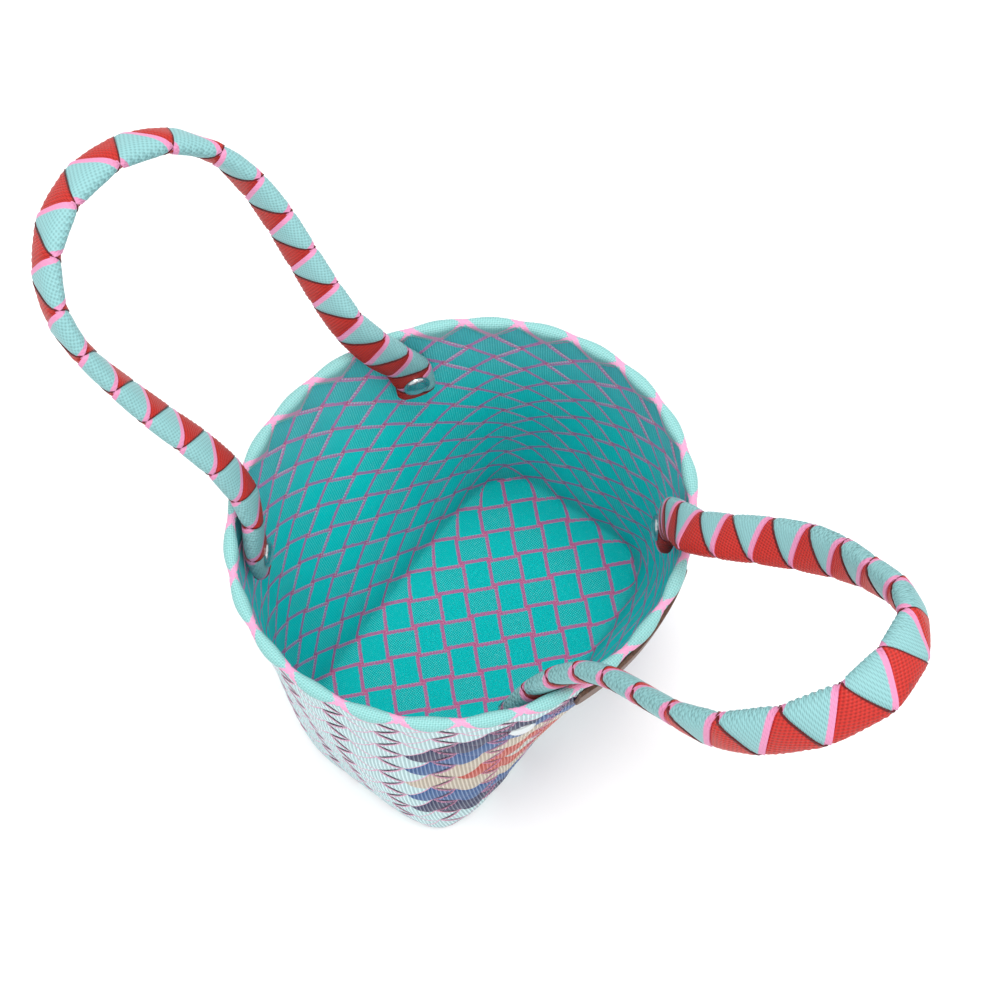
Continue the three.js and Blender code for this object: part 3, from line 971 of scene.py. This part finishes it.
# %% handle straps and cores
WRAP_LIFT = 0.6
WRAP_THICKNESS = 0.7
WRAP_FLATNESS = 5.0
WRAP_PLAN = np.linspace(-1.25, 2.25, 71)
WRAP_END_MARGIN = 1.05
RING_SAMPLES = 360
CORE_INSET = 2.0
CORE_SIDES = 20
CORE_STRIDE = 3
END_TURNS = 1.5
END_BULGE = 1.2
END_STEPS = 8
END_OPENING = 0.0004
HANDLE_WRAPS = {
    "handle_back": {
        "pitch": 17.2, "swells": [(8.0, 205.0, 45.0)], "start": -0.76,
        "leans": [(3.5, 85.0, 60.0), (6.0, 168.0, 26.0), (-4.0, 252.0, 30.0)],
        "aqua": RISING, "red": FALLING,
    },
    "handle_front": {
        "pitch": 18.5, "swells": [(6.0, 285.0, 50.0), (4.0, 120.0, 35.0), (-5.5, 210.0, 28.0)],
        "start": 0.1,
        "leans": [(9.0, 88.0, 36.0), (-7.0, 184.0, 20.0), (3.5, 270.0, 45.0)],
        "aqua": FALLING, "red": RISING,
    },
}


def swelling(place, swells):
    """A sum of soft bumps along a handle: each has a height, a middle and a reach."""
    total = np.zeros(len(place))
    for amount, middle, reach in swells:
        total += amount * np.exp(-((place - middle) / reach) ** 2)
    return total


def ring_shape(turns, inset):
    """A handle's cross-section, in turns from the pale edge: across its width and its thickness."""
    angle = np.linspace(0.0, 2 * math.pi, RING_SAMPLES + 1)
    half = (HANDLE_WIDTH / 2 - inset, HANDLE_THICKNESS / 2 - inset)
    ring = np.stack(squared_oval(angle, *half, HANDLE_ROUNDNESS), axis=-1)
    run = run_along(ring)
    return path_at((np.asarray(turns) % 1.0) * run[-1], run, ring).T


def wound_guide(name, wrap, plan_x):
    """Plan rows and places of the surface that the straps of one handle lie on."""
    points, wide, thick, length = SPINES[name]
    place = np.linspace(0.0, length, HANDLE_STEPS + 1)
    pitch = wrap["pitch"] + swelling(place, wrap["swells"])
    step = 2.0 * np.diff(place) / (0.5 * (pitch[1:] + pitch[:-1]))
    turned = wrap["start"] + np.concatenate([[0.0], np.cumsum(step)])
    first, last = turned[0], turned[-1]
    beyond = np.linspace(0.0, 1.0, END_STEPS + 1)[1:]
    plan_y = np.concatenate([first - beyond[::-1] * END_TURNS, np.linspace(first, last, HANDLE_STEPS + 1),
                             last + beyond * END_TURNS])
    past = np.maximum(np.maximum(first - plan_y, plan_y - last), 0.0) / END_TURNS
    shrink = np.sqrt(np.maximum(1.0 - past ** 2, END_OPENING))[:, None, None]
    ends = np.where(plan_y[:, None] < first, unit(points[0] - points[1]), unit(points[-1] - points[-2]))
    sides = []
    for odd, lean in ((1, 0.0), (0, 1.0)):
        folds = [fold for fold in range(math.ceil(first), math.floor(last) + 1) if fold % 2 == odd]
        folds = np.array([first] + folds + [last])
        at = np.interp(folds, turned, place)
        at = np.clip(at + lean * swelling(at, wrap["leans"]), 0.0, length)
        sides.append([path_at(plan_y, folds, path_at(at, place, part)) for part in (points, wide, thick)])
    toward_red = (1.0 - np.abs(1.0 - plan_x % 2.0))[None, :, None]
    middle, width, depth = [mix(pale[:, None], red[:, None], toward_red) for pale, red in zip(*sides)]
    across, through = ring_shape(plan_x / 2, WRAP_LIFT + WRAP_THICKNESS / 2)
    surface = width * across[None, :, None] + depth * through[None, :, None]
    return plan_y, middle + surface * shrink + (ends * past[:, None] * END_BULGE)[:, None]


def wrap_spots(wrap, first, last):
    aqua, red = [], []
    for y in range(math.ceil(first + WRAP_END_MARGIN), math.floor(last - WRAP_END_MARGIN) + 1):
        x = y % 2
        side = 1.0 if x == 0 else -1.0
        aqua.append((x, y, wrap["aqua"], side, ON_TOP_INSIDE))
        red.append((x, y, wrap["red"], -side, ON_TOP_INSIDE))
    return aqua, red


def closed_tube(name, places, finish):
    """A tube from rings of places, with its ends closed."""
    rings, count = places.shape[:2]
    faces = []
    for low in range(0, (rings - 1) * count, count):
        for index in range(count):
            after = (index + 1) % count
            faces.append((low + index, low + after, low + count + after, low + count + index))
    faces.append(tuple(range(count))[::-1])
    faces.append(tuple(range((rings - 1) * count, rings * count)))
    mesh = new_mesh(name, places, faces)
    mesh.materials.append(finish)
    mesh.shade_smooth()
    return new_piece(name, mesh)


for name, wrap in HANDLE_WRAPS.items():
    plan_y, surface = wound_guide(name, wrap, WRAP_PLAN)
    guide = guide_mesh(name + "_guide", [(WRAP_PLAN, plan_y, surface, facing(surface))])
    aqua_spots, red_spots = wrap_spots(wrap, plan_y[0], plan_y[-1])
    sizes = {"steps_along": 18, "steps_across": 8, "width": 1.0}
    sizes.update({"lift": WRAP_LIFT * MM, "flatness": WRAP_FLATNESS})
    aqua_finishes = [wound_aqua, wound_aqua, pink_edge]
    aqua = plait(name + "_aqua", guide, aqua_spots, aqua_finishes, WRAP_THICKNESS * MM, **sizes)
    red_finishes = [wound_red, wound_red, red_edge]
    red = plait(name + "_red", guide, red_spots, red_finishes, WRAP_THICKNESS * MM, **sizes)
    points, wide, thick, _ = SPINES[name]
    across, through = ring_shape(np.linspace(0.0, 1.0, CORE_SIDES, endpoint=False), CORE_INSET)
    rings = wide[:, None] * across[None, :, None] + thick[:, None] * through[None, :, None]
    core = closed_tube(name + "_core", (points[:, None] + rings)[::CORE_STRIDE], core_material)
    for piece in (aqua, red, core):
        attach(piece, "root")
    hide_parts(name)

# %% [markdown]
# ## The rivets
# One rivet goes through each foot of a handle and the wall. It shows as a polished cap inside and
# another outside. All eight caps are the same shape, so a small tree puts one cap on each point
# and turns it to the direction kept on that point. A cap is a shallow dome on a thin lip.

# %% rivets
RIVET_LIP_RADIUS = 6.0
RIVET_LIP_HEIGHT = 0.7
RIVET_DOME_RADIUS = 5.6
RIVET_DOME_HEIGHT = 2.2
RIVET_SIDES = 32
RIVET_DOME_RINGS = 16
RIVET_INNER_SEAT = WALL / 2 + 2 * SEAT_GAP + HANDLE_THICKNESS
RIVET_OUTER_SEAT = WALL / 2 + SEAT_GAP
RIVET_INPUTS = {"Points": ("NodeSocketGeometry", None), "Finish": ("NodeSocketMaterial", None)}


def rivet_tree():
    tree, given, done = new_tree("rivets", RIVET_INPUTS)
    lip_sizes = {"Vertices": RIVET_SIDES, "Radius": RIVET_LIP_RADIUS * MM, "Depth": RIVET_LIP_HEIGHT * MM}
    lip = add("GeometryNodeMeshCylinder", lip_sizes).outputs["Mesh"]
    dome_sizes = {"Segments": RIVET_SIDES, "Rings": RIVET_DOME_RINGS, "Radius": RIVET_DOME_RADIUS * MM}
    dome = add("GeometryNodeMeshUVSphere", dome_sizes).outputs["Mesh"]
    flattened = (1.0, 1.0, RIVET_DOME_HEIGHT / RIVET_DOME_RADIUS)
    dome = add("GeometryNodeTransform", {"Geometry": dome, "Scale": flattened}).outputs[0]
    dome = add("GeometryNodeSetShadeSmooth", {0: dome}).outputs[0]
    cap = add("GeometryNodeJoinGeometry", {0: lip})
    feed(dome, cap.inputs[0])
    aim = {"Vector": named("aim", "FLOAT_VECTOR")}
    turn = add("FunctionNodeAlignRotationToVector", aim, axis="Z").outputs[0]
    caps = laid_out(given["Points"], cap.outputs[0], turn, (1.0, 1.0, 1.0))
    feed(painted(caps, given["Finish"]), done[0])
    return tree


nickel = plain_material("nickel", roughness=0.16, color=linear(205, 212, 214), metallic=1.0)
cap_places, cap_aims = [], []
for handle in HANDLES.values():
    for column, height, _ in handle["feet"]:
        point, _, _, out = wall_frame(column, height)
        cap_places += [point - out * RIVET_INNER_SEAT, point + out * RIVET_OUTER_SEAT]
        cap_aims += [-out, out]
cap_mesh = new_mesh("rivet_caps", cap_places)
put(cap_mesh, "aim", "FLOAT_VECTOR", "POINT", cap_aims)
rivet_caps = new_piece("rivet_caps", grown(cap_mesh, rivet_tree(), finish=nickel))
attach(rivet_caps, "root")
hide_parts("rivet_back_right", "rivet_back_left", "rivet_front_right", "rivet_front_left")
print("rivet caps:", len(cap_places), "caps,", len(rivet_caps.data.polygons), "faces")

# %% [markdown]
# ## The leather patch
# A small plate of brown leather sits on the outside of the front wall, under the rim. It is cut
# with rounded corners and bent to the wall, so its rows follow the same outlines as the weave.
# Solidify gives the thickness, and a small bevel breaks the cut edge.

# %% leather patch
PATCH = {"first_column": 14.55, "last_column": 17.45, "low": 147.0, "high": 170.0, "thickness": 1.8}
PATCH_CORNER = 0.3
PATCH_DRAWN_IN = 0.18
PATCH_BEVEL = 0.4
PATCH_BEVEL_STEPS = 2
PATCH_STEPS = (32, 14)
GRAIN_SCALE = 900.0
GRAIN_DETAIL = 4.0
GRAIN_EDGE = (0.3, 0.7)
GRAIN_STRENGTH = 0.4
GRAIN_DEPTH = 0.2

patch_middle = WALL / 2 + SEAT_GAP + PATCH["thickness"] / 2
patch_rows = []
for share in np.sin(np.linspace(-math.pi / 2, math.pi / 2, PATCH_STEPS[1] + 1)):
    height = mix(PATCH["low"], PATCH["high"], 0.5 + 0.5 * share)
    rounding = max((abs(share) - 1.0 + PATCH_CORNER) / PATCH_CORNER, 0.0)
    drawn_in = PATCH_DRAWN_IN * (1.0 - math.sqrt(max(1.0 - rounding ** 2, 0.0)))
    first_column = PATCH["first_column"] + drawn_in
    columns = np.linspace(first_column, PATCH["last_column"] - drawn_in, PATCH_STEPS[0] + 1)
    row = outline(height, columns, -patch_middle)
    patch_rows.append(np.column_stack([row, np.full(len(columns), height)]))
patch_places = np.array(patch_rows)
patch_faces = grid_faces(*patch_places.shape[:2]).tolist()
patch_mesh = new_mesh("leather_patch", patch_places, patch_faces)

leather, leather_inputs = new_material("leather", roughness=0.55)
leather_spot = add("ShaderNodeTexCoord").outputs["Object"]
grain = noise(leather_spot, GRAIN_SCALE, GRAIN_DETAIL)
leather_share = ramp(grain, *GRAIN_EDGE)
leather_color = color_mix(leather_share, linear(74, 48, 34), linear(112, 76, 54))
feed(leather_color, leather_inputs["Base Color"])
emboss(leather_inputs, grain, GRAIN_STRENGTH, GRAIN_DEPTH)
patch_mesh.materials.append(leather)
patch = new_piece("leather_patch", patch_mesh)
patch_thick = patch.modifiers.new("thickness", "SOLIDIFY")
patch_thick.thickness = PATCH["thickness"] * MM
patch_thick.offset = 0.0
patch_round = patch.modifiers.new("broken_edge", "BEVEL")
patch_round.width = PATCH_BEVEL * MM
patch_round.segments = PATCH_BEVEL_STEPS
patch.data = plain_mesh(patch)
patch.modifiers.clear()
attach(patch, "root")
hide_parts("label_patch")
print("leather patch:", len(patch.data.polygons), "faces")

# %% [markdown]
# ## The coloured pattern
# Short coloured straps are slipped over the outside of the front wall and tucked under the
# crossings. Here they form a plain row of stepped diamonds with a zigzag border: the colour of a
# square depends only on how many steps it lies from the nearest diamond's middle.

# %% coloured pattern
PATTERN_MIDDLES = (28, 36)
PATTERN_ROW = 9
PATTERN_COLUMNS = (24, 40)
PATTERN_ROWS = (2, ROWS - 3)
PATTERN_LIFT = WEAVE_LIFT * OUTSIDE_PUFF + STRAP_THICKNESS
PATTERN_COLORS = {
    0: linear(214, 212, 204),
    2: linear(214, 84, 62),
    4: linear(218, 204, 184),
    6: linear(48, 100, 166),
    8: linear(44, 50, 100),
}
DYED_LOOK = {**OUTSIDE_LOOK, "body": None, "band": 0.0, "glint_share": 0.0, "crest_highlight_share": 0.22}

dyed = strap_material("strap_dyed", DYED_LOOK)
pattern_spots = []
for row in range(PATTERN_ROWS[0], PATTERN_ROWS[1] + 1):
    for x in range(PATTERN_COLUMNS[0], PATTERN_COLUMNS[1] + 1):
        if (x + row) % 2 == 0:
            continue
        steps = min(abs(x - middle) for middle in PATTERN_MIDDLES) + abs(row - PATTERN_ROW)
        if steps in PATTERN_COLORS:
            turn = FALLING if row % 2 == 1 else RISING
            pattern_spots.append((x, row, turn, -1.0, PATTERN_COLORS[steps]))
pattern = plait("coloured_straps", bag_guide, pattern_spots, [dyed, dyed, dyed], STRAP_THICKNESS * MM,
                lift=PATTERN_LIFT * MM, width=1.0)
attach(pattern, "root")

# %% [markdown]
# ## The floor and the light
# The bag stands on a plain pale floor in soft light from all round, as in a product photograph.

# %% studio
BACKDROP_COLOR = (1.0, 1.0, 1.0, 1.0)
BACKDROP_STRENGTH = 0.95
GROUND_SIZE = 6.0
GROUND_COLOR = (0.95, 0.95, 0.95, 1.0)

scene = bpy.context.scene
scene.view_settings.view_transform = "Standard"
world = bpy.data.worlds.new("studio")
scene.world = world
world.use_nodes = True
backdrop = world.node_tree.nodes["Background"]
backdrop.inputs["Color"].default_value = BACKDROP_COLOR
backdrop.inputs["Strength"].default_value = BACKDROP_STRENGTH

bpy.ops.mesh.primitive_plane_add(size=GROUND_SIZE)
ground = bpy.context.object
ground.name = "studio_floor"
ground.data.materials.append(plain_material("studio_floor", roughness=0.9, color=GROUND_COLOR))


def soft_light(name, place, target, size, power):
    data = bpy.data.lights.new(name, "AREA")
    data.size = size
    data.energy = power
    lamp = bpy.data.objects.new(name, data)
    lamp.location = place
    lamp.rotation_euler = (Vector(target) - Vector(place)).to_track_quat("-Z", "Y").to_euler()
    bpy.context.collection.objects.link(lamp)


soft_light("key_light", place=(-0.5, -0.9, 1.6), target=(0.0, 0.0, 0.1), size=1.0, power=6.0)
soft_light("top_light", place=(0.0, 0.0, 1.9), target=(0.0, 0.0, 0.0), size=0.8, power=16.0)
